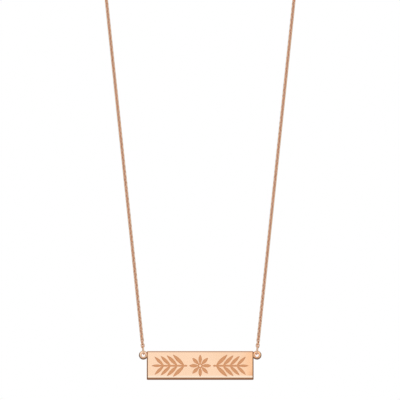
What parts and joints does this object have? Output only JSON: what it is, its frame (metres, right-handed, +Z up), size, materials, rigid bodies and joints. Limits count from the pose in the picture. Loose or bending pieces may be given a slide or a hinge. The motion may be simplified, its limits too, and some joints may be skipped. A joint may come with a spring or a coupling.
{
  "type": "nameplate necklace",
  "caption": "Rose-gold bar nameplate engraved with laurel sprays and a rosette, hanging from a fine cable chain that closes in a spring ring at the nape.",
  "frame": {"origin": "middle of the loop's back stretch, at the clasp, where it lies on the nape", "axes": "+Z up, -Y out of the nameplate's face, +X to the right as seen from the front"},
  "size_m": [0.0664, 0.0679, 0.1594],
  "materials": {
    "polished_gold": "polished 14 karat rose gold, engraving with a matte floor",
    "chain_gold": "polished 14 karat rose gold wire"
  },
  "bodies": {
    "chain": {"left_end_link": "chain_gold", "right_end_link": "chain_gold", "left_chain": "chain_gold", "right_chain": "chain_gold", "left_clasp_link": "chain_gold", "right_clasp_link": "chain_gold", "clasp": "chain_gold"},
    "nameplate": {"nameplate": "polished_gold"}
  },
  "joints": [
    {"name": "nameplate_swing", "type": "hinge", "parent": "chain", "child": "nameplate", "pos_m": [0, -0.066, -0.14841], "axis": [1, 0, 0], "range_deg": [-125, 125]}
  ]
}
